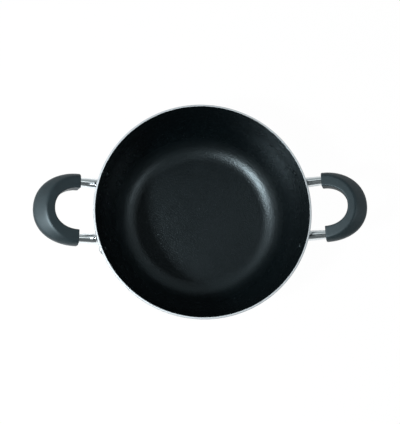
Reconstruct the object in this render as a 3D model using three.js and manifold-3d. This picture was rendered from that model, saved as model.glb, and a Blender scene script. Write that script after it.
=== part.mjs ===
// A two-handled nonstick casserole pot, 24 cm across the rim.
// Millimetres, +Z up. The origin is the middle of the underside and the handles lie along X.
import * as THREE from 'three';
import { mergeVertices } from 'three/addons/utils/BufferGeometryUtils.js';
import Module from 'manifold-3d';

const wasm = await Module();
wasm.setup();

// The pot: a pressed aluminium shell with a thicker base, whose wall bends up from the floor
// in a tight corner and then in a slow sweep that runs out straight under the rim.
const rimBore = 240;
const insideDepth = 82;
const wallThickness = 2.5;
const baseThickness = 3;
const wallDraft = THREE.MathUtils.degToRad(3);
const floorCornerRadius = 27;
const floorCornerTurn = THREE.MathUtils.degToRad(48);
const wallSweepRadius = 80;
const rimEdgeRadius = 0.8;
const standingRingWidth = 16;
const baseDishDepth = 0.5;
const baseDishBevel = 1;

// The handles: a forged steel loop with two stems that flare into feet on the wall.
const stemSpacing = 64;
const stemRootDepth = 22;
const stemLength = 26.5;
const stemRootDiameter = 12.6;
const stemFlareDiameter = 17;
const stemFlareLength = 6;
const rodRunBack = 9;
const handleRise = THREE.MathUtils.degToRad(26);
const rodDiameter = 10.5;
const footThickness = 2.4;
const footRootRadius = 9;
const footEndRadius = 8;

// The rivets, one through each foot.
const rivetSpacing = 88;
const rivetDepth = 19;
const rivetShankDiameter = 5;
const rivetHeadDiameter = 8;
const rivetHeadHeight = 1.7;
const rivetTailDiameter = 8.6;
const rivetTailHeight = 1.6;

// The grips: phenolic moulded round the loop, with a ridge and a falling outer face.
const sideCover = 3.5;
const faceCover = 5;
const noseCover = 3.6;
const noseLip = 7.3;
const fingerDepth = 26.5;
const outlineFullness = 2.14;
const ridgeOffset = 4.5;
const ridgeRound = 1.5;
const facetAngle = THREE.MathUtils.degToRad(46);
const outerRoundWidth = 5;
const outerRoundHeight = 9;
const topEdgeChamfer = 1.2;
const fingerEdgeWidth = 3;
const fingerEdgeHeight = 7;

// The gap that neighbouring pieces keep, and how far a cut runs on past what it cuts.
const fitGap = 0.3;
const cutOverrun = 20;
const weldTolerance = 0.0001;

// How finely the round forms are faceted.
const potSides = 72;
const rodSides = 16;
const rivetSides = 16;
const footSteps = 7;
const cornerSteps = 6;
const sweepSteps = 5;
const smallArcSteps = 3;
const loopSteps = 24;
const outlineSteps = 12;
const crownSides = 48;

// Sizes that follow from the ones above.
const rimHeight = baseThickness + insideDepth;
const innerRim = rimBore / 2;
const outerRim = innerRim + wallThickness / Math.cos(wallDraft);
const sweepReach = Math.cos(wallDraft) - Math.sin(floorCornerTurn);
const sweepClimb = Math.cos(floorCornerTurn) - Math.sin(wallDraft);
const sweepGain = sweepReach - sweepClimb * Math.tan(wallDraft);
const cornerReach = Math.sin(floorCornerTurn) - (1 - Math.cos(floorCornerTurn)) * Math.tan(wallDraft);
const floorFlatRadius = innerRim - insideDepth * Math.tan(wallDraft)
  - floorCornerRadius * cornerReach - wallSweepRadius * sweepGain;
const baseCornerRadius = floorCornerRadius + baseThickness;
const outerSweepRadius = (outerRim - rimHeight * Math.tan(wallDraft)
  - baseCornerRadius * cornerReach - floorFlatRadius) / sweepGain;
const dishRadius = floorFlatRadius - standingRingWidth;

const rodRadius = rodDiameter / 2;
const legWidth = rodDiameter + 2 * sideCover;
const gripThickness = rodDiameter + 2 * faceCover;
const outerHalfWidth = (stemSpacing + legWidth) / 2;
const innerHalfWidth = (stemSpacing - legWidth) / 2;
const loopReach = fingerDepth + noseCover + rodRadius;
const gripLength = loopReach + rodRadius + noseLip;
const ridgeHalfWidth = stemSpacing / 2 + ridgeOffset;

const nonstickAluminium = { color: 0x23282a, roughness: 0.38, metalness: 0.1 };
const polishedSteel = { color: 0xc9cdd0, roughness: 0.18, metalness: 1 };
const phenolic = { color: 0x3a4649, roughness: 0.5, metalness: 0 };
const coatedRivet = { color: 0x1c2022, roughness: 0.4, metalness: 0.1 };

// Closed mesh to solid: shared vertices are merged and triangles with no area are dropped.
function solidOf(geometry) {
  geometry.deleteAttribute('normal');
  geometry.deleteAttribute('uv');
  const merged = mergeVertices(geometry, weldTolerance);
  const corners = merged.index.array;
  const kept = [];
  for (let i = 0; i < corners.length; i += 3) {
    const [a, b, c] = corners.slice(i, i + 3);
    if (a !== b && b !== c && c !== a) kept.push(a, b, c);
  }
  const mesh = new wasm.Mesh({
    numProp: 3,
    vertProperties: new Float32Array(merged.attributes.position.array),
    triVerts: new Uint32Array(kept),
  });
  mesh.merge();
  return new wasm.Manifold(mesh);
}

function geometryOf(solid) {
  const mesh = solid.getMesh();
  const geometry = new THREE.BufferGeometry();
  geometry.setAttribute('position', new THREE.BufferAttribute(mesh.vertProperties, 3));
  geometry.setIndex(new THREE.BufferAttribute(mesh.triVerts, 1));
  geometry.computeVertexNormals();
  return geometry;
}

function pieceOf(name, geometry, finish) {
  const mesh = new THREE.Mesh(geometry, new THREE.MeshStandardMaterial(finish));
  mesh.name = name;
  return mesh;
}

// A profile of radius and height turned about Z.
function turned(profile, sides) {
  return new THREE.LatheGeometry(profile, sides).rotateX(Math.PI / 2);
}

// Points on an arc, from one angle to another, both ends included.
function arc(x, y, radius, from, to, steps) {
  return Array.from({ length: steps + 1 }, (_, i) => {
    const angle = from + (to - from) * i / steps;
    return new THREE.Vector2(x + radius * Math.cos(angle), y + radius * Math.sin(angle));
  });
}

// A floor corner and the sweep after it, from the flat up to the straight wall, grown by an offset.
function wallCurve(level, corner, sweep, offset) {
  const turn = floorCornerTurn - Math.PI / 2;
  const x = floorFlatRadius + (corner - sweep) * Math.cos(turn);
  const y = level + corner + (corner - sweep) * Math.sin(turn);
  return [
    ...arc(floorFlatRadius, level + corner, corner + offset, -Math.PI / 2, turn, cornerSteps),
    ...arc(x, y, sweep + offset, turn, -wallDraft, sweepSteps).slice(1),
  ];
}

// The outside of the pot from its base to the height asked for, grown by an offset.
function outerProfile(offset, top) {
  const edge = outerRim + offset / Math.cos(wallDraft) + (top - rimHeight) * Math.tan(wallDraft);
  return [
    ...wallCurve(0, baseCornerRadius, outerSweepRadius, offset),
    new THREE.Vector2(edge, top),
  ];
}

// The outside of the wall at a height, on its straight part.
function outerRadiusAt(height) {
  return outerRim - (rimHeight - height) * Math.tan(wallDraft);
}

// A solid that fills the pot's outside, grown by an offset and run past the rim.
function potEnvelope(offset) {
  const top = rimHeight + cutOverrun;
  const profile = [
    new THREE.Vector2(0, -offset),
    ...outerProfile(offset, top),
    new THREE.Vector2(0, top),
  ];
  return solidOf(turned(profile, potSides));
}

function rimProfile() {
  const round = Math.min(rimEdgeRadius, wallThickness / 3);
  const outer = arc(outerRim - round, rimHeight - round, round, -wallDraft, Math.PI / 2, smallArcSteps);
  const inner = arc(innerRim + round, rimHeight - round, round, Math.PI / 2, Math.PI - wallDraft,
    smallArcSteps);
  return [...outer, ...inner];
}

function potGeometry(rivetHoles) {
  const outside = outerProfile(0, rimHeight).slice(0, -1);
  const inside = wallCurve(baseThickness, floorCornerRadius, wallSweepRadius, 0).reverse();
  const profile = [
    new THREE.Vector2(0, baseDishDepth),
    new THREE.Vector2(dishRadius, baseDishDepth),
    new THREE.Vector2(dishRadius + baseDishBevel, 0),
    ...outside,
    ...rimProfile(),
    ...inside,
    new THREE.Vector2(0, baseThickness),
  ];
  const shell = solidOf(turned(profile, potSides));
  return geometryOf(rivetHoles.reduce((body, hole) => body.subtract(hole), shell));
}

// Where a rivet crosses the outside of the wall, and the way out of the wall there.
function rivetPlace(side) {
  const height = rimHeight - rivetDepth;
  const radius = outerRadiusAt(height);
  const y = side * rivetSpacing / 2;
  const point = new THREE.Vector3(Math.sqrt(radius * radius - y * y), y, height);
  const outward = new THREE.Vector3(point.x, point.y, 0).setLength(Math.cos(wallDraft));
  outward.z = -Math.sin(wallDraft);
  return { point, outward };
}

// The pose that stands a piece turned about Z on the wall, with its +Z out of the wall.
function onWall({ point, outward }) {
  const turn = new THREE.Quaternion().setFromUnitVectors(new THREE.Vector3(0, 0, 1), outward);
  return new THREE.Matrix4().compose(point, turn, new THREE.Vector3(1, 1, 1));
}

// A rivet about Z with the outside of the wall at zero: coated head inside, formed tail outside.
function rivetGeometry() {
  const shank = rivetShankDiameter / 2;
  const head = rivetHeadDiameter / 2;
  const tail = rivetTailDiameter / 2;
  const headSeat = -wallThickness - fitGap;
  const tailSeat = 2 * fitGap + footThickness;
  const dome = (radius, seat, height) => Array.from({ length: smallArcSteps + 1 }, (_, i) => {
    const angle = Math.PI / 2 * i / smallArcSteps;
    return new THREE.Vector2(radius * Math.sin(angle), seat + height * Math.cos(angle));
  });
  const profile = [
    ...dome(head, headSeat, -rivetHeadHeight),
    new THREE.Vector2(shank, headSeat),
    new THREE.Vector2(shank, tailSeat),
    ...dome(tail, tailSeat, rivetTailHeight).reverse(),
  ];
  return geometryOf(solidOf(turned(profile, rivetSides)));
}

function rivetHole(side) {
  const radius = rivetShankDiameter / 2 + fitGap;
  const hole = new THREE.CylinderGeometry(radius, radius, 2 * cutOverrun, rivetSides);
  hole.rotateX(Math.PI / 2).applyMatrix4(onWall(rivetPlace(side)));
  return solidOf(hole);
}

// The handle plane: X runs out along the rise from the grip's end line, Z stands on the plane.
function stemRoot(side) {
  const height = rimHeight - stemRootDepth;
  const radius = outerRadiusAt(height);
  const y = side * stemSpacing / 2;
  return new THREE.Vector3(Math.sqrt(radius * radius - y * y), y, height);
}

const handlePlane = new THREE.Matrix4()
  .makeTranslation(stemRoot(1).setY(0))
  .multiply(new THREE.Matrix4().makeRotationY(-handleRise))
  .multiply(new THREE.Matrix4().makeTranslation(stemLength, 0, 0));

// The middle line of the rod in the handle plane: half an oval that runs back into both stems.
class RodCurve extends THREE.Curve {
  getPoint(t, target = new THREE.Vector3()) {
    const bend = 2 * loopReach;
    const half = stemSpacing / 2;
    const along = t * (2 * rodRunBack + bend) - rodRunBack;
    if (along < 0) return target.set(along, -half, 0);
    if (along > bend) return target.set(bend - along, half, 0);
    const angle = Math.PI * (along / bend - 1 / 2);
    return target.set(loopReach * Math.cos(angle), half * Math.sin(angle), 0);
  }
}

function rodGeometry(radius) {
  const section = new THREE.Shape().absarc(0, 0, radius, 0, 2 * Math.PI);
  return new THREE.ExtrudeGeometry(section, {
    steps: loopSteps,
    curveSegments: rodSides / 2,
    extrudePath: new RodCurve(),
  });
}

// A stem tapers from its root on the wall to the rod, with a flare where it meets the foot.
function stemGeometry(side) {
  const flare = new THREE.QuadraticBezierCurve(
    new THREE.Vector2(stemFlareDiameter / 2, 0),
    new THREE.Vector2(stemRootDiameter / 2, 0),
    new THREE.Vector2(stemRootDiameter / 2, stemFlareLength));
  const profile = [
    new THREE.Vector2(0, -stemFlareLength),
    new THREE.Vector2(stemFlareDiameter / 2, -stemFlareLength),
    ...flare.getPoints(smallArcSteps),
    new THREE.Vector2(rodRadius, stemLength),
    new THREE.Vector2(0, stemLength),
  ];
  const stem = turned(profile, rodSides);
  stem.rotateY(Math.PI / 2).translate(-stemLength, side * stemSpacing / 2, 0);
  return stem.applyMatrix4(handlePlane);
}

// A foot: an egg-shaped plate from the stem's root to past the rivet, curved to the wall.
function footSolid(side) {
  const root = stemRoot(side);
  const { point, outward } = rivetPlace(side);
  const along = new THREE.Vector3().subVectors(point, root);
  const across = new THREE.Vector3().crossVectors(outward, along).normalize();
  const flat = new THREE.Vector3().crossVectors(across, outward);
  const span = along.dot(flat);
  const lean = Math.acos((footRootRadius - footEndRadius) / span);
  const outline = new THREE.Shape()
    .absarc(0, 0, footRootRadius, lean, 2 * Math.PI - lean)
    .absarc(span, 0, footEndRadius, -lean, lean);
  const plate = new THREE.ExtrudeGeometry(outline, {
    depth: 2 * cutOverrun,
    bevelEnabled: false,
    curveSegments: footSteps,
  });
  plate.translate(0, 0, -cutOverrun);
  const pose = new THREE.Matrix4().makeBasis(flat, across, outward).setPosition(root);
  return solidOf(plate.applyMatrix4(pose)).intersect(potEnvelope(fitGap + footThickness));
}

function handleLoopGeometry() {
  let body = solidOf(rodGeometry(rodRadius).applyMatrix4(handlePlane));
  for (const side of [-1, 1]) {
    body = body.add(solidOf(stemGeometry(side))).add(footSolid(side));
  }
  body = body.subtract(potEnvelope(fitGap));
  for (const side of [-1, 1]) {
    body = body.subtract(rivetHole(side));
  }
  return geometryOf(body);
}

// Half a full oval about the X axis, run back past the grip's end line, where it is cut square.
function ovalOutline(reach, halfWidth) {
  const round = Array.from({ length: outlineSteps * 2 + 1 }, (_, i) => {
    const angle = Math.PI / 2 * (i / outlineSteps - 1);
    const x = Math.abs(Math.cos(angle)) ** (2 / outlineFullness);
    const y = Math.abs(Math.sin(angle)) ** (2 / outlineFullness);
    return new THREE.Vector2(reach * x, halfWidth * y * Math.sign(angle));
  });
  return new THREE.Shape([
    new THREE.Vector2(-cutOverrun, -halfWidth),
    ...round,
    new THREE.Vector2(-cutOverrun, halfWidth),
  ]);
}

// The outer form of a grip: a full oval whose side is rounded from face to face.
function gripBlock() {
  const block = new THREE.ExtrudeGeometry(ovalOutline(gripLength, outerHalfWidth), {
    depth: gripThickness - 2 * outerRoundHeight,
    bevelThickness: outerRoundHeight,
    bevelSize: outerRoundWidth,
    bevelOffset: -outerRoundWidth,
    bevelSegments: smallArcSteps,
  });
  return solidOf(block.translate(0, 0, outerRoundHeight - gripThickness / 2));
}

// What leaves the finger opening: a straight hole, eased at the top and opened out below.
function fingerOpening() {
  const outline = ovalOutline(fingerDepth, innerHalfWidth);
  const through = new THREE.ExtrudeGeometry(outline, { depth: gripThickness, bevelEnabled: false });
  const eased = (level, width, height) => {
    const cutter = new THREE.ExtrudeGeometry(outline, {
      depth: cutOverrun,
      bevelThickness: height,
      bevelSize: width,
      bevelSegments: 1,
    });
    return solidOf(cutter.translate(0, 0, level));
  };
  return solidOf(through.translate(0, 0, -gripThickness / 2))
    .add(eased(gripThickness / 2, topEdgeChamfer, topEdgeChamfer))
    .add(eased(-gripThickness / 2 - cutOverrun, fingerEdgeWidth, fingerEdgeHeight));
}

// The crown: a flat face inside the ridge, a falling face outside it and a flat underside.
function crownSolid() {
  const half = gripThickness / 2;
  const fall = Math.tan(facetAngle);
  const rim = gripLength + ridgeRound;
  const ridge = new THREE.QuadraticBezierCurve(
    new THREE.Vector2(ridgeHalfWidth - ridgeRound, half),
    new THREE.Vector2(ridgeHalfWidth, half),
    new THREE.Vector2(ridgeHalfWidth + ridgeRound, half - ridgeRound * fall));
  const crown = turned([
    new THREE.Vector2(0, -half),
    new THREE.Vector2(rim, -half),
    new THREE.Vector2(rim, Math.max(half - (rim - ridgeHalfWidth) * fall, fitGap - half)),
    ...ridge.getPoints(smallArcSteps).reverse(),
    new THREE.Vector2(0, half),
  ], crownSides);
  return solidOf(crown.scale(loopReach / ridgeHalfWidth, 1, 1));
}

// A grip: its block under the crown, cut square at the end line, opened and cored for the rod.
function gripGeometry() {
  const outward = new THREE.BoxGeometry(2 * gripLength, 2 * stemSpacing, 2 * gripThickness);
  outward.translate(gripLength, 0, 0);
  const grip = gripBlock()
    .intersect(crownSolid())
    .intersect(solidOf(outward))
    .subtract(fingerOpening())
    .subtract(solidOf(rodGeometry(rodRadius + fitGap)));
  return geometryOf(grip).applyMatrix4(handlePlane);
}

// One handle with its grip and rivets, in place on the +X side.
function handleGroup(side, ends) {
  const handle = new THREE.Group();
  handle.add(pieceOf(`handle_loop_${side}`, handleLoopGeometry(), polishedSteel));
  handle.add(pieceOf(`grip_${side}`, gripGeometry(), phenolic));
  for (const [sign, end] of ends) {
    const rivet = pieceOf(`rivet_${side}_${end}`, rivetGeometry(), coatedRivet);
    const { point, outward } = rivetPlace(sign);
    rivet.position.copy(point);
    rivet.quaternion.setFromUnitVectors(new THREE.Vector3(0, 0, 1), outward);
    handle.add(rivet);
  }
  return handle;
}

const rightHoles = [rivetHole(-1), rivetHole(1)];
const leftHoles = rightHoles.map((hole) => hole.rotate([0, 0, 180]));

const casserole = new THREE.Group();
casserole.add(pieceOf('pot_body', potGeometry([...rightHoles, ...leftHoles]), nonstickAluminium));
casserole.add(handleGroup('right', [[-1, 'front'], [1, 'rear']]));
const leftHandle = handleGroup('left', [[-1, 'rear'], [1, 'front']]);
leftHandle.rotation.z = Math.PI;
casserole.add(leftHandle);

export default casserole;
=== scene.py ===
import math

import bpy
from mathutils import Matrix, Vector


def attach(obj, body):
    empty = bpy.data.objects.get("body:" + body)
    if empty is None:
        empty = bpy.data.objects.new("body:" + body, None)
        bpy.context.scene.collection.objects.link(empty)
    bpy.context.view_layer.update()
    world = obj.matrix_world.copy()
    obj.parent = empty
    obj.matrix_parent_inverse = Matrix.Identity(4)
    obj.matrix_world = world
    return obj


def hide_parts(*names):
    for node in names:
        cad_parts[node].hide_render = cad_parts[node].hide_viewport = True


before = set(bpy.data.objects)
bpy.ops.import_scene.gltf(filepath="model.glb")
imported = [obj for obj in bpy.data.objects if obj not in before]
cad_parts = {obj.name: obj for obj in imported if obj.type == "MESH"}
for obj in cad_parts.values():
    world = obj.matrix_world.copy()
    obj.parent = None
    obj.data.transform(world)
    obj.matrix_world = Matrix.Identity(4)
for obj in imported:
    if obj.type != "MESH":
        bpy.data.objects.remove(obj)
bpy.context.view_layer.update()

MM = 0.001

# The pot, in millimetres, as in the CAD.
RIM_BORE = 240
RIM_HEIGHT = 85
WALL = 2.5
BASE = 3
DRAFT = math.radians(3)
FLOOR_CORNER = 27
CORNER_TURN = math.radians(48)
WALL_SWEEP = 80
RIM_ROUND = 0.8
STANDING_RING = 16
DISH_DEPTH = 0.5
DISH_BEVEL = 1
INNER_RIM = RIM_BORE / 2
OUTER_RIM = INNER_RIM + WALL / math.cos(DRAFT)
SWEEP_GAIN = (math.cos(DRAFT) - math.sin(CORNER_TURN)
              - (math.cos(CORNER_TURN) - math.sin(DRAFT)) * math.tan(DRAFT))
CORNER_REACH = math.sin(CORNER_TURN) - (1 - math.cos(CORNER_TURN)) * math.tan(DRAFT)
FLOOR_FLAT = (INNER_RIM - (RIM_HEIGHT - BASE) * math.tan(DRAFT)
              - FLOOR_CORNER * CORNER_REACH - WALL_SWEEP * SWEEP_GAIN)
BASE_CORNER = FLOOR_CORNER + BASE
OUTER_SWEEP = (OUTER_RIM - RIM_HEIGHT * math.tan(DRAFT)
               - BASE_CORNER * CORNER_REACH - FLOOR_FLAT) / SWEEP_GAIN
GAP = 0.3

# A handle: the loop's rod, stems and feet, and the grip round the rod.
STEM_SPACING = 64
STEM_DEPTH = 22
STEM_LENGTH = 26.5
STEM_ROOT_RADIUS = 6.3
ROOT_FILLET = 2.4
RISE = math.radians(26)
ROD_RADIUS = 5.25
FOOT_THICKNESS = 2.4
FOOT_ROOT_RADIUS = 9
FOOT_END_RADIUS = 8
FOOT_EDGE = 0.8
FINGER_DEPTH = 26.5
LOOP_REACH = 35.35
GRIP_LENGTH = 47.75
GRIP_HALF = 10.15
GRIP_OUTER = 40.75
GRIP_INNER = 23.25
FULLNESS = 2.14
RIDGE_WIDTH = 36.5
RIDGE_ROUND = 2
FACET_FALL = math.tan(math.radians(46))
FACET_CROWN = 0.012
SIDE_ROUND = (5, 9)
FINGER_ROUND = (3, 7)
TOP_ROUND = 1.3
SHOULDER_ROUND = 3
END_ROUND = 0.8
# The rounds at the ends of the falling face take no more than this share of its drop.
ROUND_SHARE = 0.45

# A rivet through the wall and a foot.
RIVET_SPACING = 88
RIVET_DEPTH = 19
RIVET_SHANK = 2.5
RIVET_HEAD = (4, 1.7)
RIVET_TAIL = (4.3, 1.6)

# How the stems run into the feet, in millimetres.
STEM_SEARCH = 1.4 * STEM_LENGTH
FILLET_RUN = 2.2 * ROOT_FILLET
FILLET_SINK = 0.1
FOOT_INSET = 1.6

# Which way a face of the pot looks, by its normal: flat on the rim, flat underneath, up or
# inward.
RIM_FLAT = 0.9
UNDER_FLAT = 0.98
LOOKS_UP = 0.05
LOOKS_IN = 0.3

# How finely the meshes are drawn.
POT_STEPS = 192
CURVE_STEPS = 20
RIVET_STEPS = 48
DOME_STEPS = 10
GRIP_STEPS = 96
NOSE_STEPS = 24
LOOP_STEPS = 72
ROD_SIDES = 40
FOOT_SIDES = 72
STEM_RINGS = 7
FILLET_RINGS = 7
HALVINGS = 40
SETTLINGS = 12
# Points nearer than this are one point, and faces that rise less than LEVEL are level.
TOUCH = 0.001 * MM
LEVEL = 0.01 * MM

# The camera fitted to the photograph: turns in degrees, then millimetres, then pixels.
CAMERA_TURNS = (11.16, -4.27, -1.46)
CAMERA_AIM = (-5.03, -6.09, RIM_HEIGHT)
CAMERA_DISTANCE = 477.04
SENSOR_WIDTH = 36
PHOTO_PIXELS = 400
FOCAL_PIXELS = 428.14

# The lamps, placed from the photograph's highlights: place and size in metres, power in watts.
LAMP_COLOUR = "#f6fcff"
LAMPS = {
    "key_front_left": ((-0.592, -0.282, 0.755), (0.115, 0.125), 14.5),
    "panel_left": ((-0.95, 0.06, 0.54), (0.9, 0.4), 2.8),
    "panel_back": ((-0.5, 0.5, 0.9), (0.5, 0.5), 0.5),
    "fill_right": ((0.897, -0.207, 0.86), (0.25, 0.25), 1.9),
    "top_right": ((0.39, 0.2, 0.95), (0.25, 0.25), 0.35),
}

# The floor, in metres, and how much of it is plain white to the camera and in a mirror.
FLOOR_SIZE = 12
FLOOR_DROP = 0.05 * MM
BACKDROP_SHARE = 0.985
MIRROR_SHARE = 0.5


def linear(code):
    """An sRGB hex colour as linear values."""
    parts = [int(code[i:i + 2], 16) / 255 for i in (1, 3, 5)]
    return (*[c / 12.92 if c <= 0.04045 else ((c + 0.055) / 1.055) ** 2.4 for c in parts], 1)


# Dark coatings and resins shine a little cool.
COOL_SHINE = linear("#e6f8ff")


def add(tree, kind, settings=None, inputs=None, stops=()):
    """Adds a node with its settings, its input values and links, and a colour ramp's stops."""
    node = tree.nodes.new(kind)
    for name, value in (settings or {}).items():
        setattr(node, name, value)
    for name, value in (inputs or {}).items():
        if isinstance(value, bpy.types.NodeSocket):
            tree.links.new(value, node.inputs[name])
        else:
            node.inputs[name].default_value = value
    for _ in stops[2:]:
        node.color_ramp.elements.new(1)
    for i, (place, code) in enumerate(stops):
        node.color_ramp.elements[i].position = place
        node.color_ramp.elements[i].color = linear(code)
    return node


def new_material(name):
    """An empty material, its node tree and the place on the piece that its patterns follow."""
    material = bpy.data.materials.new(name)
    material.use_nodes = True
    tree = material.node_tree
    tree.nodes.clear()
    place = add(tree, "ShaderNodeTexCoord").outputs["Object"]
    return material, tree, place


# Black PTFE coating, sprayed on blasted metal and baked. It looks blue-black and gives a soft
# gloss that the fine grain of the film breaks up. The spray builds up on the floor, which dries
# rough, and runs thin up the wall, which dries smoother and so looks darker.
def nonstick_sprayed():
    material, tree, place = new_material("ptfe_nonstick_sprayed")
    # The sprayed film dries with an orange peel of under 1 mm, drawn at 1.7 mm so that it shows.
    peel = add(tree, "ShaderNodeTexNoise", None,
               {"Vector": place, "Scale": 1 / (1.7 * MM), "Detail": 1, "Roughness": 0.6})
    # The blasted metal under it leaves a slow change of gloss over some 14 mm.
    cloud = add(tree, "ShaderNodeTexNoise", None,
                {"Vector": place, "Scale": 1 / (14 * MM), "Detail": 2})
    # Mica flecks of about 0.1 mm are drawn in cells of 2 mm so that they show.
    fleck = add(tree, "ShaderNodeTexVoronoi", None, {"Vector": place, "Scale": 1 / (2 * MM)})
    shade = add(tree, "ShaderNodeSeparateColor", None, {"Color": fleck.outputs["Color"]})
    colour = add(tree, "ShaderNodeValToRGB", None, {"Fac": shade.outputs["Red"]},
                 [(0.0, "#010405"), (0.8, "#030709"), (1.0, "#060c0e")])
    level = add(tree, "ShaderNodeSeparateXYZ", None, {"Vector": place}).outputs["Z"]
    build = add(tree, "ShaderNodeMapRange", {"interpolation_type": "SMOOTHSTEP"},
                {"Value": level, "From Min": 9 * MM, "From Max": 24 * MM,
                 "To Min": 0.33, "To Max": 0.24})
    gloss = add(tree, "ShaderNodeMath", {"operation": "MULTIPLY_ADD"},
                {0: cloud.outputs["Fac"], 1: 0.06, 2: build.outputs["Result"]})
    relief = add(tree, "ShaderNodeBump", None,
                 {"Height": peel.outputs["Fac"], "Strength": 1.0, "Distance": 0.34 * MM})
    shader = add(tree, "ShaderNodeBsdfPrincipled", None,
                 {"Base Color": colour.outputs["Color"], "Roughness": gloss.outputs["Value"],
                  "IOR": 1.55, "Specular Tint": COOL_SHINE, "Normal": relief.outputs["Normal"]})
    add(tree, "ShaderNodeOutputMaterial", None, {"Surface": shader.outputs["BSDF"]})
    return material


# Bare aluminium, spun and brushed round the wall. It gives a satin grey with fine level lines.
def aluminium_spun():
    material, tree, place = new_material("aluminium_spun_satin")
    level = add(tree, "ShaderNodeSeparateXYZ", None, {"Vector": place}).outputs["Z"]
    # The tool leaves lines about 0.35 mm apart.
    lines = add(tree, "ShaderNodeTexNoise", {"noise_dimensions": "1D"},
                {"W": level, "Scale": 1 / (0.35 * MM), "Detail": 3, "Roughness": 0.6})
    cloud = add(tree, "ShaderNodeTexNoise", None, {"Vector": place, "Scale": 1 / (25 * MM)})
    colour = add(tree, "ShaderNodeValToRGB", None, {"Fac": lines.outputs["Fac"]},
                 [(0.3, "#9b9ea0"), (0.7, "#afb2b4")])
    gloss = add(tree, "ShaderNodeMapRange", None,
                {"Value": cloud.outputs["Fac"], "To Min": 0.3, "To Max": 0.4})
    relief = add(tree, "ShaderNodeBump", None,
                 {"Height": lines.outputs["Fac"], "Strength": 0.2, "Distance": 0.02 * MM})
    shader = add(tree, "ShaderNodeBsdfPrincipled", None,
                 {"Base Color": colour.outputs["Color"], "Roughness": gloss.outputs["Result"],
                  "Metallic": 1.0, "Normal": relief.outputs["Normal"]})
    add(tree, "ShaderNodeOutputMaterial", None, {"Surface": shader.outputs["BSDF"]})
    return material


# Bare aluminium faced on a lathe. It gives a pale dull edge with fine rings round the middle.
def aluminium_turned():
    material, tree, place = new_material("aluminium_turned_dull")
    flat = add(tree, "ShaderNodeVectorMath", {"operation": "MULTIPLY"},
               {0: place, 1: (1, 1, 0)}).outputs["Vector"]
    radius = add(tree, "ShaderNodeVectorMath", {"operation": "LENGTH"}, {0: flat}).outputs["Value"]
    # The lathe feeds about 0.6 mm a turn.
    rings = add(tree, "ShaderNodeTexNoise", {"noise_dimensions": "1D"},
                {"W": radius, "Scale": 1 / (0.6 * MM), "Detail": 2})
    colour = add(tree, "ShaderNodeValToRGB", None, {"Fac": rings.outputs["Fac"]},
                 [(0.3, "#babdbf"), (0.7, "#cccfd1")])
    gloss = add(tree, "ShaderNodeMapRange", None,
                {"Value": rings.outputs["Fac"], "To Min": 0.7, "To Max": 0.78})
    relief = add(tree, "ShaderNodeBump", None,
                 {"Height": rings.outputs["Fac"], "Strength": 0.25, "Distance": 0.03 * MM})
    shader = add(tree, "ShaderNodeBsdfPrincipled", None,
                 {"Base Color": colour.outputs["Color"], "Roughness": gloss.outputs["Result"],
                  "Metallic": 1.0, "Normal": relief.outputs["Normal"]})
    add(tree, "ShaderNodeOutputMaterial", None, {"Surface": shader.outputs["BSDF"]})
    return material


# Filled phenolic resin, compression moulded. It gives a blue-grey charcoal satin with a fine dry
# grain.
def phenolic_moulded():
    material, tree, place = new_material("phenolic_moulded_satin")
    # The wood-flour filler shows as a mottle of about 6 mm and a grain of about 0.5 mm.
    mottle = add(tree, "ShaderNodeTexNoise", None,
                 {"Vector": place, "Scale": 1 / (6 * MM), "Detail": 3})
    grain = add(tree, "ShaderNodeTexNoise", None,
                {"Vector": place, "Scale": 1 / (0.5 * MM), "Detail": 2, "Roughness": 0.6})
    colour = add(tree, "ShaderNodeValToRGB", None, {"Fac": mottle.outputs["Fac"]},
                 [(0.3, "#0f171a"), (0.7, "#131d20")])
    gloss = add(tree, "ShaderNodeMapRange", None,
                {"Value": mottle.outputs["Fac"], "To Min": 0.46, "To Max": 0.52})
    relief = add(tree, "ShaderNodeBump", None,
                 {"Height": grain.outputs["Fac"], "Strength": 0.2, "Distance": 0.03 * MM})
    shader = add(tree, "ShaderNodeBsdfPrincipled", None,
                 {"Base Color": colour.outputs["Color"], "Roughness": gloss.outputs["Result"],
                  "IOR": 1.5, "Specular Tint": COOL_SHINE, "Normal": relief.outputs["Normal"]})
    add(tree, "ShaderNodeOutputMaterial", None, {"Surface": shader.outputs["BSDF"]})
    return material


# Stainless steel, forged and belt polished. It mirrors the room in soft bands, with faint
# hairlines along the stem.
def steel_polished():
    material, tree, place = new_material("stainless_steel_polished")
    # Hairlines about 0.3 mm apart run along X.
    along = add(tree, "ShaderNodeMapping", None, {"Vector": place, "Scale": (0.03, 1, 1)})
    hair = add(tree, "ShaderNodeTexNoise", None,
               {"Vector": along.outputs["Vector"], "Scale": 1 / (0.3 * MM), "Detail": 2})
    colour = add(tree, "ShaderNodeValToRGB", None, {"Fac": hair.outputs["Fac"]},
                 [(0.3, "#d5d9db"), (0.7, "#e6e9ea")])
    gloss = add(tree, "ShaderNodeMapRange", None,
                {"Value": hair.outputs["Fac"], "To Min": 0.08, "To Max": 0.16})
    relief = add(tree, "ShaderNodeBump", None,
                 {"Height": hair.outputs["Fac"], "Strength": 0.1, "Distance": 0.01 * MM})
    shader = add(tree, "ShaderNodeBsdfPrincipled", None,
                 {"Base Color": colour.outputs["Color"], "Roughness": gloss.outputs["Result"],
                  "Metallic": 1.0, "Normal": relief.outputs["Normal"]})
    add(tree, "ShaderNodeOutputMaterial", None, {"Surface": shader.outputs["BSDF"]})
    return material


NONSTICK = nonstick_sprayed()
SPUN = aluminium_spun()
TURNED = aluminium_turned()
PHENOLIC = phenolic_moulded()
STEEL = steel_polished()


def arc(x, z, radius, start, end, steps):
    """Points on an arc from one angle to another, in degrees, both ends included."""
    angles = [math.radians(start + (end - start) * i / steps) for i in range(steps + 1)]
    return [(x + radius * math.cos(a), z + radius * math.sin(a)) for a in angles]


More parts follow.
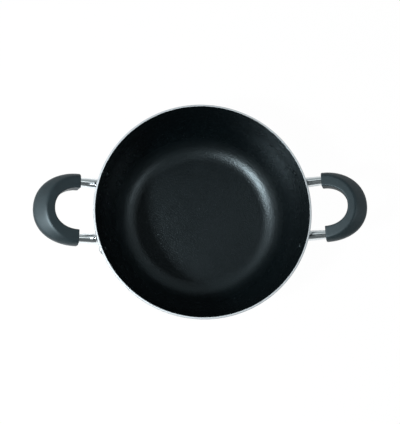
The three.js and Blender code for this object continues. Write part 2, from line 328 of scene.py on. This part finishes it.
def spread(start, end, steps):
    """Points on a straight line between two points, neither end included."""
    (x, z), (to_x, to_z) = start, end
    return [(x + (to_x - x) * i / steps, z + (to_z - z) * i / steps) for i in range(1, steps)]


def dome(radius, seat, height, steps):
    """A shallow dome's outline from its rim to its middle."""
    angles = [math.pi / 2 * (1 - i / steps) for i in range(steps + 1)]
    return [(radius * math.sin(a), seat + height * math.cos(a)) for a in angles]


def halve(low, high, test):
    """The place between two others above which test() holds, found by halving."""
    for _ in range(HALVINGS):
        middle = (low + high) / 2
        if test(middle):
            high = middle
        else:
            low = middle
    return low


def face_outward():
    """Turns the faces of the piece in edit mode outward and leaves edit mode."""
    bpy.ops.mesh.select_all(action="SELECT")
    bpy.ops.mesh.normals_make_consistent(inside=False)
    bpy.ops.object.mode_set(mode="OBJECT")


def turn(name, outline, steps):
    """Draws an outline of radius and height point by point and spins it round Z."""
    points = [Vector((r * MM, 0, z * MM)) for r, z in outline]
    bpy.ops.object.select_all(action="DESELECT")
    bpy.ops.mesh.primitive_plane_add(size=MM)
    piece = bpy.context.object
    piece.name = name
    bpy.ops.object.mode_set(mode="EDIT")
    bpy.ops.mesh.select_mode(type="VERT")
    bpy.ops.mesh.merge(type="CENTER")
    bpy.ops.transform.translate(value=points[0])
    for before, after in zip(points, points[1:]):
        bpy.ops.mesh.extrude_vertices_move(TRANSFORM_OT_translate={"value": after - before})
    bpy.ops.mesh.select_all(action="SELECT")
    bpy.ops.mesh.spin(steps=steps, angle=2 * math.pi, center=(0, 0, 0), axis=(0, 0, 1))
    bpy.ops.mesh.select_all(action="SELECT")
    bpy.ops.mesh.remove_doubles(threshold=TOUCH)
    face_outward()
    return piece


def smooth(piece, angle):
    """Shades a piece smooth, apart from edges sharper than an angle in degrees."""
    bpy.ops.object.select_all(action="DESELECT")
    piece.select_set(True)
    bpy.context.view_layer.objects.active = piece
    bpy.ops.object.shade_smooth_by_angle(angle=math.radians(angle))


def dress(piece, materials, which=None):
    """Gives a piece its materials, and each face the one that which() picks."""
    piece.data.materials.clear()
    for material in materials:
        piece.data.materials.append(material)
    for face in piece.data.polygons:
        face.material_index = which(face) if which else 0


def fit(piece, node):
    """Puts a piece in the place of a CAD node."""
    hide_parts(node)
    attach(piece, "root")


def copy_moved(piece, name, move):
    """A copy with its own mesh, moved by a matrix about the pot's middle."""
    twin = piece.copy()
    twin.data = piece.data.copy()
    twin.name = name
    twin.data.transform(move)
    bpy.context.scene.collection.objects.link(twin)
    return twin


def wall_radius(height):
    """The outside of the wall, on its straight part."""
    return OUTER_RIM - (RIM_HEIGHT - height) * math.tan(DRAFT)


def wall_curve(level, corner, sweep):
    """A floor corner and the wall's slow sweep, from the floor's flat to the straight wall."""
    turn_to = math.degrees(CORNER_TURN) - 90
    x = FLOOR_FLAT + (corner - sweep) * math.sin(CORNER_TURN)
    z = level + corner - (corner - sweep) * math.cos(CORNER_TURN)
    tight = arc(FLOOR_FLAT, level + corner, corner, -90, turn_to, CURVE_STEPS)
    return tight + arc(x, z, sweep, turn_to, -math.degrees(DRAFT), CURVE_STEPS)[1:]


def pot_outline():
    """The shell's outline, from the middle of the underside over the rim to the middle inside."""
    dish = FLOOR_FLAT - STANDING_RING
    draft = math.degrees(DRAFT)
    outer_round = arc(OUTER_RIM - RIM_ROUND, RIM_HEIGHT - RIM_ROUND, RIM_ROUND, -draft, 90, 6)
    inner_round = arc(INNER_RIM + RIM_ROUND, RIM_HEIGHT - RIM_ROUND, RIM_ROUND, 90, 180 - draft, 6)
    outside = wall_curve(0, BASE_CORNER, OUTER_SWEEP)
    inside = wall_curve(BASE, FLOOR_CORNER, WALL_SWEEP)[::-1]
    return [
        (0, DISH_DEPTH), *spread((0, DISH_DEPTH), (dish, DISH_DEPTH), 6), (dish, DISH_DEPTH),
        (dish + DISH_BEVEL, 0), *spread((dish + DISH_BEVEL, 0), outside[0], 3),
        *outside, *spread(outside[-1], outer_round[0], 8),
        *outer_round, *inner_round,
        *spread(inner_round[-1], inside[0], 8), *inside,
        *spread(inside[-1], (0, BASE), 6), (0, BASE),
    ]


def pot_finish(face):
    """0 for the coated inside, 1 for the spun outside, 2 for the turned rim and underside."""
    x, y, z = face.center
    out = (face.normal.x * x + face.normal.y * y) / max(math.hypot(x, y), MM)
    if z > (RIM_HEIGHT - RIM_ROUND) * MM:
        # The coating laps over the rim's inner round, and only the flat is turned.
        if face.normal.z > RIM_FLAT:
            return 2
        return 0 if out < 0 else 1
    if face.normal.z > LOOKS_UP and z > BASE / 2 * MM or out < -LOOKS_IN:
        return 0
    return 2 if face.normal.z < -UNDER_FLAT else 1


def make_pot():
    """The pot's shell in its three finishes."""
    pot = turn("pot_shell", pot_outline(), POT_STEPS)
    dress(pot, [NONSTICK, SPUN, TURNED], pot_finish)
    smooth(pot, 35)
    fit(pot, "pot_body")


# The handle plane: X runs out along the rise from the grip's end line, Z stands on the plane.
ROOT_HEIGHT = RIM_HEIGHT - STEM_DEPTH
ROOT_X = math.sqrt(wall_radius(ROOT_HEIGHT) ** 2 - (STEM_SPACING / 2) ** 2)
HANDLE_PLANE = (Matrix.Translation((ROOT_X * MM, 0, ROOT_HEIGHT * MM))
                @ Matrix.Rotation(-RISE, 4, "Y")
                @ Matrix.Translation((STEM_LENGTH * MM, 0, 0)))


def oval(reach, half, angle, fullness):
    """A point on a full oval in the handle plane."""
    c, s = math.cos(angle), math.sin(angle)
    x = reach * max(c, 0) ** (2 / fullness)
    return Vector((x, math.copysign(half * abs(s) ** (2 / fullness), s), 0))


def rounded(corner, before, after, steps):
    """A corner of an outline, rounded between a point before it and a point after it."""
    a, c, b = Vector(before), Vector(corner), Vector(after)
    return [tuple(a.lerp(c, i / steps).lerp(c.lerp(b, i / steps), i / steps))
            for i in range(steps + 1)]


def grip_outside(width, ridge):
    """The outside of a grip's section, from under its nose over the ridge to the finger hole."""
    side, tall = SIDE_ROUND
    level = GRIP_HALF - tall

    def nose(t):
        return width - side + side * math.sqrt(max(0, 1 - (max(abs(t) - level, 0) / tall) ** 2))

    # The falling face is a little crowned: it gets steeper away from the ridge.
    def face(t):
        bend = math.sqrt(FACET_FALL ** 2 + 4 * FACET_CROWN * (GRIP_HALF - t))
        return ridge + (bend - FACET_FALL) / (2 * FACET_CROWN)

    # It ends where it meets the nose.
    low = halve(-GRIP_HALF, GRIP_HALF, lambda t: nose(t) >= face(t))
    drop = GRIP_HALF - low
    start = low - SHOULDER_ROUND + GRIP_HALF
    heights = [start * (1 - math.cos(math.pi / 2 * i / NOSE_STEPS)) - GRIP_HALF
               for i in range(NOSE_STEPS + 1)]
    side_points = [(nose(t), t) for t in heights]
    above = low + min(SHOULDER_ROUND, ROUND_SHARE * drop)
    below = GRIP_HALF - min(RIDGE_ROUND, ROUND_SHARE * drop)
    falling = [(face(t), t) for t in [above + (below - above) * i / 6 for i in range(7)]]
    turn_shoulder = rounded((nose(low), low), side_points[-1], falling[0], 8)
    before_ridge = (ridge - min(RIDGE_ROUND, (ridge - TOP_ROUND) / 2), GRIP_HALF)
    turn_ridge = rounded((ridge, GRIP_HALF), falling[-1], before_ridge, 8)
    inner = arc(TOP_ROUND, GRIP_HALF - TOP_ROUND, TOP_ROUND, 90, 180, 6)
    return [
        *side_points[:-1], *turn_shoulder, *falling[1:-1], *turn_ridge,
        *spread(turn_ridge[-1], inner[0], 5), *inner,
    ]


def grip_section(angle):
    """A grip's section at an angle round its oval, as points in the handle plane."""
    inside = oval(FINGER_DEPTH, GRIP_INNER, angle, FULLNESS)
    outside = oval(GRIP_LENGTH, GRIP_OUTER, angle, FULLNESS)
    across = (outside - inside).normalized()
    width = (outside - inside).length
    # Where the line across the grip meets the ridge's oval.
    ax, ay = across.x / LOOP_REACH, across.y / RIDGE_WIDTH
    bx, by = inside.x / LOOP_REACH, inside.y / RIDGE_WIDTH
    a, b, c = ax * ax + ay * ay, ax * bx + ay * by, bx * bx + by * by - 1
    ridge = (math.sqrt(b * b - a * c) - b) / a
    outer = grip_outside(width, ridge)
    wide, tall = FINGER_ROUND
    eased = [(wide - wide * math.sin(t), -GRIP_HALF + tall - tall * math.cos(t))
             for t in [math.pi / 2 * i / 8 for i in range(9)]]
    wall = spread(outer[-1], eased[-1], 4)
    flat = [*outer, *wall, *reversed(eased), *spread(eased[0], outer[0], 6)]
    return [inside + across * w + Vector((0, 0, t)) for w, t in flat]


def rod_section(radius, angle, count):
    """A round section on the rod's middle line."""
    centre = oval(LOOP_REACH, STEM_SPACING / 2, angle, 2)
    out = Vector((math.cos(angle) * STEM_SPACING / 2, math.sin(angle) * LOOP_REACH, 0))
    out.normalize()
    turns = [2 * math.pi * i / count for i in range(count)]
    return [centre + out * radius * math.cos(t) + Vector((0, 0, radius * math.sin(t)))
            for t in turns]


def choose(piece, mode, test):
    """Leaves a piece in edit mode with the vertices, edges or faces chosen by their corners."""
    bpy.context.view_layer.objects.active = piece
    bpy.ops.object.mode_set(mode="EDIT")
    bpy.ops.mesh.select_mode(type=mode)
    bpy.ops.mesh.select_all(action="DESELECT")
    bpy.ops.object.mode_set(mode="OBJECT")
    mesh = piece.data
    for item in {"VERT": mesh.vertices, "EDGE": mesh.edges, "FACE": mesh.polygons}[mode]:
        corners = [item.index] if mode == "VERT" else item.vertices
        item.select = test([mesh.vertices[i].co for i in corners])
    bpy.ops.object.mode_set(mode="EDIT")


def choose_end(piece, side):
    """Chooses the edges at a half ring's open end on one side."""
    choose(piece, "EDGE",
           lambda corners: all(abs(p.x) < TOUCH and p.y * side > 0 for p in corners))


def half_ring(name, section, around, along):
    """Half a torus, each of whose rings is drawn to a section."""
    # The torus only lends its rings, so its own size is free.
    big, small = 3 * MM, MM
    bpy.ops.object.select_all(action="DESELECT")
    bpy.ops.mesh.primitive_torus_add(major_segments=2 * along, minor_segments=around,
                                     major_radius=big, minor_radius=small)
    piece = bpy.context.object
    piece.name = name
    choose(piece, "VERT", lambda corners: corners[0].x < -TOUCH)
    bpy.ops.mesh.delete(type="VERT")
    bpy.ops.object.mode_set(mode="OBJECT")
    rings = {}
    for vertex in piece.data.vertices:
        x, y, z = vertex.co
        ring = round(math.atan2(y, x) / math.pi * along)
        turn_by = math.atan2(z, math.hypot(x, y) - big) / (2 * math.pi)
        if ring not in rings:
            rings[ring] = section(math.pi * ring / along)
        vertex.co = rings[ring][round(turn_by * around) % around] * MM
    return piece


def join(pieces, name):
    """Makes several meshes one piece."""
    bpy.ops.object.select_all(action="DESELECT")
    for piece in pieces:
        piece.select_set(True)
    bpy.context.view_layer.objects.active = pieces[0]
    bpy.ops.object.join()
    pieces[0].name = name
    return pieces[0]


def make_grip():
    """The right grip: its skin, the rod's bore, and the ends that close it."""
    around = len(grip_section(0))
    bore_radius = ROD_RADIUS + GAP
    skin = half_ring("grip_skin", grip_section, around, GRIP_STEPS)
    bore = half_ring("grip_bore", lambda a: rod_section(bore_radius, a, around),
                     around, GRIP_STEPS)
    bpy.ops.object.mode_set(mode="EDIT")
    bpy.ops.mesh.select_all(action="SELECT")
    bpy.ops.mesh.flip_normals()
    bpy.ops.object.mode_set(mode="OBJECT")
    grip = join([skin, bore], "grip_right_moulded")
    for side in (-1, 1):
        choose_end(grip, side)
        bpy.ops.mesh.bridge_edge_loops()
        bpy.ops.object.mode_set(mode="OBJECT")

    def from_rod(point):
        return math.hypot(abs(point.y) - STEM_SPACING / 2 * MM, point.z)

    rim = bore_radius * MM + TOUCH
    choose(grip, "EDGE",
           lambda corners: all(abs(p.x) < TOUCH and from_rod(p) > rim for p in corners))
    bpy.ops.mesh.bevel(offset=END_ROUND * MM, segments=4, affect="EDGES", clamp_overlap=True)
    face_outward()
    grip.data.transform(HANDLE_PLANE)
    dress(grip, [PHENOLIC])
    smooth(grip, 38)
    return grip


def on_wall(along, up, height):
    """A point off the wall near a stem's root: along the wall, up it and out of it."""
    z = ROOT_HEIGHT + up * math.cos(DRAFT)
    radius = wall_radius(z) + height / math.cos(DRAFT)
    root = wall_radius(ROOT_HEIGHT)
    bearing = math.asin(STEM_SPACING / 2 / root) + along / root
    return Vector((radius * math.cos(bearing), radius * math.sin(bearing), z))


def off_wall(point):
    """How far a point of the handle plane stands off the wall, in millimetres."""
    place = HANDLE_PLANE @ (point * MM) / MM
    return (math.hypot(place.x, place.y) - wall_radius(place.z)) * math.cos(DRAFT)


def stem_rings(side):
    """Rings of a stem from the grip's end line down to its root, with a fillet onto the foot."""
    top = GAP + FOOT_THICKNESS
    middle = Vector((0, side * STEM_SPACING / 2, 0))
    rings = [[] for _ in range(STEM_RINGS + FILLET_RINGS)]
    for i in range(ROD_SIDES):
        turn_by = 2 * math.pi * i / ROD_SIDES
        out = Vector((0, side * math.cos(turn_by), math.sin(turn_by)))

        def on_stem(x):
            share = -x / STEM_LENGTH
            return middle + Vector((x, 0, 0)) + out * (
                ROD_RADIUS + (STEM_ROOT_RADIUS - ROD_RADIUS) * share)

        root = halve(-STEM_SEARCH, 0, lambda x: off_wall(on_stem(x)) > top)
        foot = on_stem(root)
        start = on_stem(root + FILLET_RUN)
        # The fillet runs out onto the foot, away from the stem, and ends just under its face.
        end = foot + out * ROOT_FILLET
        for _ in range(SETTLINGS):
            end.x -= off_wall(end) - top + FILLET_SINK
        for k in range(STEM_RINGS):
            rings[k].append(on_stem((root + FILLET_RUN) * (k + 1) / STEM_RINGS))
        for k in range(FILLET_RINGS):
            t = (k + 1) / FILLET_RINGS
            rings[STEM_RINGS + k].append(start.lerp(foot, t).lerp(foot.lerp(end, t), t))
    return rings


def foot_outline(angle, span):
    """A foot's outline: the hull of a circle round the stem's root and one round the rivet."""
    way = Vector((math.cos(angle), math.sin(angle)))
    if way.dot(span) + FOOT_END_RADIUS > FOOT_ROOT_RADIUS:
        return span + way * FOOT_END_RADIUS
    return way * FOOT_ROOT_RADIUS


def make_foot():
    """The foot on the +Y side: an egg-shaped plate with a rounded edge, curved to the wall."""
    radius = wall_radius(ROOT_HEIGHT)
    along = radius * (math.asin(RIVET_SPACING / 2 / wall_radius(RIM_HEIGHT - RIVET_DEPTH))
                      - math.asin(STEM_SPACING / 2 / radius))
    span = Vector((along, (STEM_DEPTH - RIVET_DEPTH) / math.cos(DRAFT)))
    bpy.ops.object.select_all(action="DESELECT")
    bpy.ops.mesh.primitive_circle_add(vertices=FOOT_SIDES, radius=FOOT_ROOT_RADIUS * MM,
                                      fill_type="NGON")
    foot = bpy.context.object
    for vertex in foot.data.vertices:
        vertex.co.xy = foot_outline(math.atan2(vertex.co.y, vertex.co.x), span) * MM
    bpy.ops.object.mode_set(mode="EDIT")
    bpy.ops.mesh.select_mode(type="FACE")
    bpy.ops.mesh.select_all(action="SELECT")
    bpy.ops.mesh.extrude_region_move(TRANSFORM_OT_translate={"value": (0, 0, FOOT_THICKNESS * MM)})
    bpy.ops.object.mode_set(mode="OBJECT")
    high = FOOT_THICKNESS * MM - LEVEL
    choose(foot, "EDGE", lambda corners: min(p.z for p in corners) > high)
    bpy.ops.mesh.bevel(offset=FOOT_EDGE * MM, segments=5, affect="EDGES")
    bpy.ops.object.mode_set(mode="OBJECT")
    choose(foot, "FACE",
           lambda corners: max(p.z for p in corners) - min(p.z for p in corners) < LEVEL)
    # The flats are inset three times, so that they have rings of points to bend to the wall.
    for _ in range(3):
        bpy.ops.mesh.inset(thickness=FOOT_INSET * MM, use_even_offset=True)
    bpy.ops.mesh.poke()
    face_outward()
    for vertex in foot.data.vertices:
        u, v, h = vertex.co / MM
        vertex.co = on_wall(u, v, GAP + h) * MM
    return foot


def make_loop():
    """The right loop: the rod, two stems drawn out of its ends, and their feet."""
    loop = half_ring("loop_rod", lambda a: rod_section(ROD_RADIUS, a, ROD_SIDES),
                     ROD_SIDES, LOOP_STEPS)
    for side in (-1, 1):
        middle = Vector((0, side * STEM_SPACING / 2 * MM, 0))
        choose_end(loop, side)
        for ring in stem_rings(side):
            bpy.ops.mesh.extrude_region_move(TRANSFORM_OT_translate={"value": (-MM, 0, 0)})
            bpy.ops.object.mode_set(mode="OBJECT")
            for vertex in [v for v in loop.data.vertices if v.select]:
                off = vertex.co - middle
                turn_by = math.atan2(off.z, off.y * side) / (2 * math.pi)
                vertex.co = ring[round(turn_by * ROD_SIDES) % ROD_SIDES] * MM
            bpy.ops.object.mode_set(mode="EDIT")
        bpy.ops.mesh.edge_face_add()
        bpy.ops.object.mode_set(mode="OBJECT")
    loop.data.transform(HANDLE_PLANE)
    foot = make_foot()
    mirrored = copy_moved(foot, "foot_mirrored", Matrix.Diagonal((1, -1, 1, 1)))
    loop = join([loop, foot, mirrored], "loop_right_polished")
    bpy.ops.object.mode_set(mode="EDIT")
    face_outward()
    dress(loop, [STEEL])
    smooth(loop, 40)
    return loop


def make_rivet(side):
    """A rivet through the wall at one foot: a coated domed head inside and a bare tail outside."""
    head_seat = -WALL - GAP
    tail_seat = 2 * GAP + FOOT_THICKNESS
    head = dome(RIVET_HEAD[0], head_seat, -RIVET_HEAD[1], DOME_STEPS)[::-1]
    tail = dome(RIVET_TAIL[0], tail_seat, RIVET_TAIL[1], DOME_STEPS)
    outline = [*head, (RIVET_SHANK, head_seat), (RIVET_SHANK, tail_seat), *tail]
    rivet = turn("rivet", outline, RIVET_STEPS)
    dress(rivet, [NONSTICK, SPUN], lambda face: 0 if face.center.z < 0 else 1)
    smooth(rivet, 35)
    height = RIM_HEIGHT - RIVET_DEPTH
    y = side * RIVET_SPACING / 2
    x = math.sqrt(wall_radius(height) ** 2 - y * y)
    out = Vector((x, y, 0)).normalized() * math.cos(DRAFT) - Vector((0, 0, math.sin(DRAFT)))
    turn_by = Vector((0, 0, 1)).rotation_difference(out).to_matrix().to_4x4()
    rivet.data.transform(Matrix.Translation(Vector((x, y, height)) * MM) @ turn_by)
    return rivet


def make_handles():
    """Both handles with their rivets. The left one is the right one turned half round."""
    half_turn = Matrix.Rotation(math.pi, 4, "Z")
    grip = make_grip()
    loop = make_loop()
    fit(copy_moved(grip, "grip_left_moulded", half_turn), "grip_left")
    fit(grip, "grip_right")
    fit(copy_moved(loop, "loop_left_polished", half_turn), "handle_loop_left")
    fit(loop, "handle_loop_right")
    for side, right, left in ((-1, "front", "rear"), (1, "rear", "front")):
        rivet = make_rivet(side)
        rivet.name = f"rivet_set_right_{right}"
        twin = copy_moved(rivet, f"rivet_set_left_{left}", half_turn)
        fit(twin, f"rivet_left_{left}")
        fit(rivet, f"rivet_right_{right}")


def make_floor():
    """A plain white sweep that keeps a faint shadow."""
    bpy.ops.object.select_all(action="DESELECT")
    bpy.ops.mesh.primitive_grid_add(x_subdivisions=2, y_subdivisions=2, size=FLOOR_SIZE,
                                    location=(0, 0, -FLOOR_DROP))
    floor = bpy.context.object
    floor.name = "floor"
    material = bpy.data.materials.new("white_paper_sweep")
    material.use_nodes = True
    tree = material.node_tree
    tree.nodes.clear()
    paper = add(tree, "ShaderNodeBsdfDiffuse", None, {"Color": linear("#f2f2f2")})
    white = add(tree, "ShaderNodeEmission", None, {"Color": (1, 1, 1, 1), "Strength": 1})
    rays = add(tree, "ShaderNodeLightPath")
    mirrored = add(tree, "ShaderNodeMath", {"operation": "MAXIMUM"},
                   {0: rays.outputs["Is Glossy Ray"], 1: rays.outputs["Is Transmission Ray"]})
    # A mirrored floor keeps more of its shadow than the floor behind the pot does.
    half = add(tree, "ShaderNodeMath", {"operation": "MULTIPLY"},
               {0: mirrored.outputs["Value"], 1: MIRROR_SHARE})
    share = add(tree, "ShaderNodeMath", {"operation": "MULTIPLY_ADD"},
                {0: rays.outputs["Is Camera Ray"], 1: BACKDROP_SHARE, 2: half.outputs["Value"]})
    mix = add(tree, "ShaderNodeMixShader", None,
              {0: share.outputs["Value"], 1: paper.outputs["BSDF"], 2: white.outputs["Emission"]})
    add(tree, "ShaderNodeOutputMaterial", None, {"Surface": mix.outputs["Shader"]})
    floor.data.materials.append(material)


def make_world():
    """A dim pale studio, lighter at the back and sides than overhead and to the front."""
    world = bpy.data.worlds.new("studio")
    bpy.context.scene.world = world
    world.use_nodes = True
    tree = world.node_tree
    tree.nodes.clear()
    way = add(tree, "ShaderNodeTexCoord").outputs["Generated"]
    split = add(tree, "ShaderNodeSeparateXYZ", None, {"Vector": way}).outputs
    room = add(tree, "ShaderNodeValToRGB", None, {"Fac": split["Z"]},
               [(0.0, "#d0d6d8"), (0.25, "#b8bec0"), (0.5, "#98a0a2"), (0.78, "#8c9496"),
                (0.93, "#343a3c"), (0.985, "#121517")])
    depth = add(tree, "ShaderNodeMapRange", None,
                {"Value": split["Y"], "From Min": -0.6, "From Max": 0.6,
                 "To Min": 0.4, "To Max": 1.1})
    light = add(tree, "ShaderNodeBackground", None,
                {"Color": room.outputs["Color"], "Strength": depth.outputs["Result"]})
    add(tree, "ShaderNodeOutputWorld", None, {"Surface": light.outputs["Background"]})


def softbox(name, place, size, power):
    """A soft lamp that faces the pot's rim."""
    bpy.ops.object.light_add(type="AREA", location=place)
    lamp = bpy.context.object
    lamp.name = name
    lamp.data.shape = "RECTANGLE"
    lamp.data.size, lamp.data.size_y = size
    lamp.data.energy = power
    lamp.data.color = linear(LAMP_COLOUR)[:3]
    lamp.visible_camera = False
    aim = Vector(place) - Vector((0, 0, RIM_HEIGHT * MM))
    lamp.rotation_euler = aim.to_track_quat("Z", "Y").to_euler()


def make_camera():
    """The photograph's view: from above and a little to the front, near the pot."""
    tilt, swing, roll = (math.radians(a) for a in CAMERA_TURNS)
    aim = Vector(CAMERA_AIM) * MM
    level = math.cos(tilt)
    back = Vector((math.sin(swing) * level, -math.sin(tilt), math.cos(swing) * level))
    right = Vector((0, 1, 0)).cross(back).normalized()
    up = back.cross(right)
    c, s = math.cos(roll), math.sin(roll)
    turned_right, turned_up = right * c + up * s, up * c - right * s
    pose = Matrix((turned_right, turned_up, back)).transposed().to_4x4()
    pose.translation = aim + back * CAMERA_DISTANCE * MM
    bpy.ops.object.camera_add()
    camera = bpy.context.object
    camera.matrix_world = pose
    camera.data.sensor_fit = "HORIZONTAL"
    camera.data.sensor_width = SENSOR_WIDTH
    camera.data.lens = FOCAL_PIXELS * SENSOR_WIDTH / PHOTO_PIXELS
    camera.data.clip_start = 0.01
    bpy.context.scene.camera = camera


make_pot()
make_handles()
make_floor()
make_world()
for name, (place, size, power) in LAMPS.items():
    softbox(name, place, size, power)
make_camera()
bpy.context.scene.view_settings.view_transform = "Standard"
